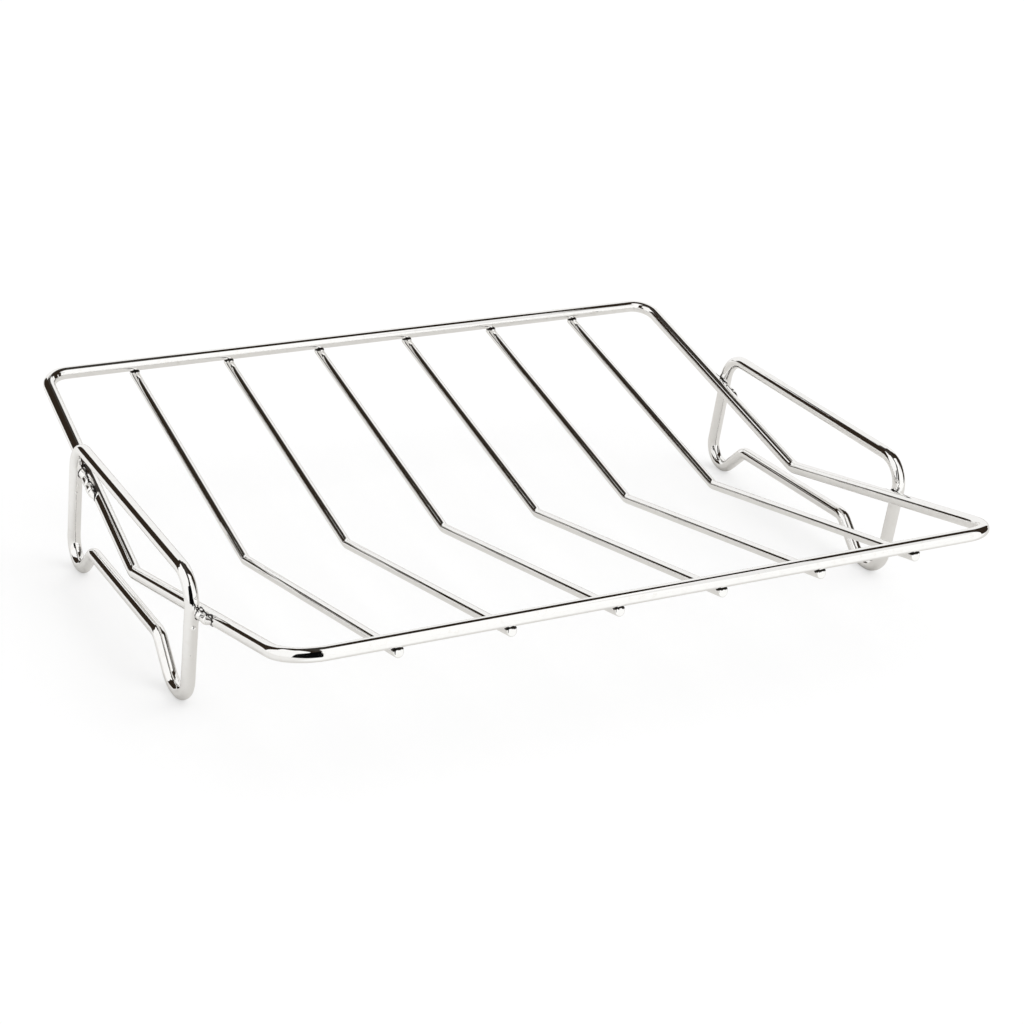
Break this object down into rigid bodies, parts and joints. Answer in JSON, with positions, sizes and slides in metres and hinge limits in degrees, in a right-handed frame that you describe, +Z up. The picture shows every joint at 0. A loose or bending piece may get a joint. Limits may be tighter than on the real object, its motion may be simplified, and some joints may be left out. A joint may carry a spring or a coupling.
{
  "type": "roasting rack",
  "caption": "V-shaped roasting rack of bright plated wire, with a heavy wire frame, thinner cross wires and a bent handle with feet at each side.",
  "frame": {"origin": "on the surface the rack stands on, under the middle of its outline seen from above", "axes": "+X along the two long rails to the right side loop, +Y to the higher rear rail, +Z up"},
  "size_m": [0.356, 0.3108, 0.0713],
  "materials": {
    "heavy_wire": "bright nickel and chrome plate on drawn steel wire",
    "cross_wire": "bright nickel and chrome plate on thinner drawn steel wire"
  },
  "bodies": {
    "root": {"frame_loop": "heavy_wire", "cross_wire_1": "cross_wire", "cross_wire_2": "cross_wire", "cross_wire_3": "cross_wire", "cross_wire_4": "cross_wire", "cross_wire_5": "cross_wire", "cross_wire_6": "cross_wire", "side_loop_left": "heavy_wire", "side_loop_right": "heavy_wire"}
  },
  "joints": []
}
